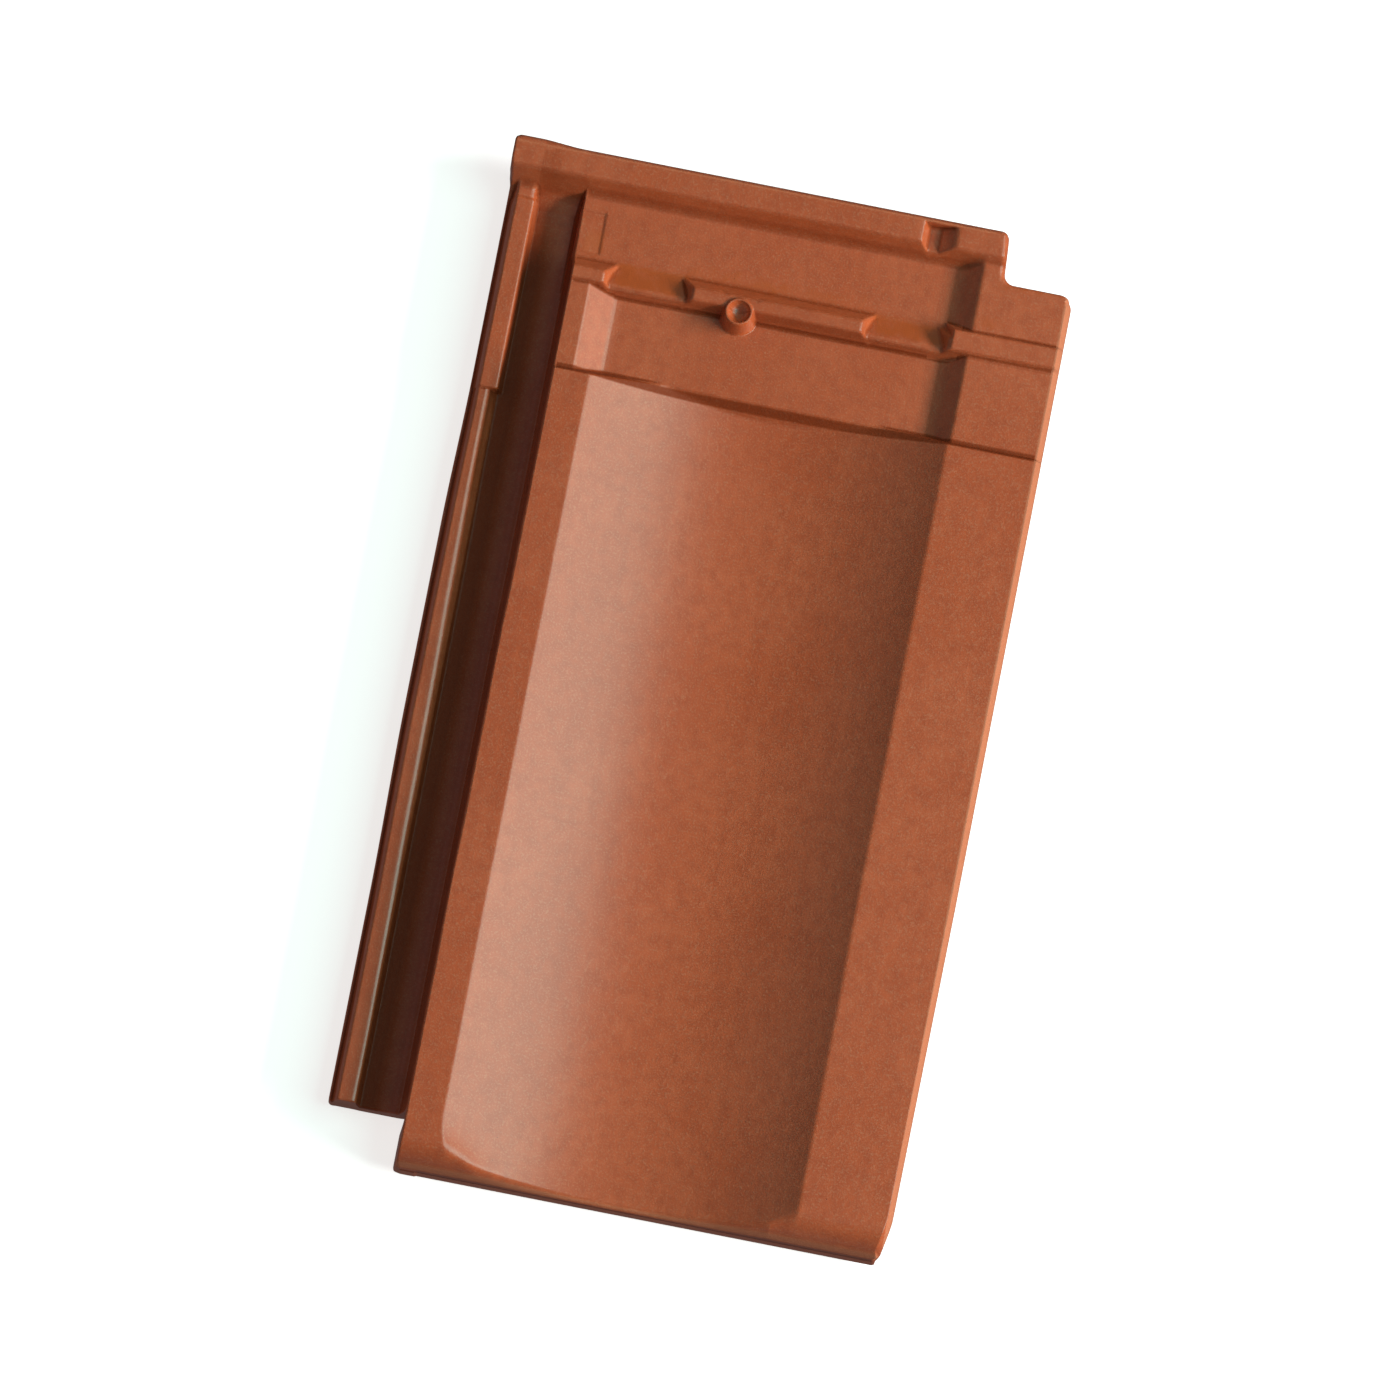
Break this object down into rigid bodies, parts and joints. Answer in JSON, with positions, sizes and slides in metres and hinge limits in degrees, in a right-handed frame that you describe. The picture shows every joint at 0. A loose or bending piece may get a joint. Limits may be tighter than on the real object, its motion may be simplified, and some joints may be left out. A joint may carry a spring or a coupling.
{
  "type": "interlocking clay roof tile",
  "caption": "Red fired-clay interlocking roof tile with one broad shallow trough, a side channel, cross ribs and a fixing cup at the head, and batten nibs below.",
  "frame": {"origin": "centre of the bounding box's base, on the plane the tile rests on", "axes": "+Z out of the weather face, +Y from the foot up the roof towards the head, +X across towards the side that covers the next tile"},
  "size_m": [0.2562, 0.4682, 0.034],
  "materials": {
    "fired_clay": "satin"
  },
  "bodies": {
    "root": {"roof_tile": "fired_clay"}
  },
  "joints": []
}
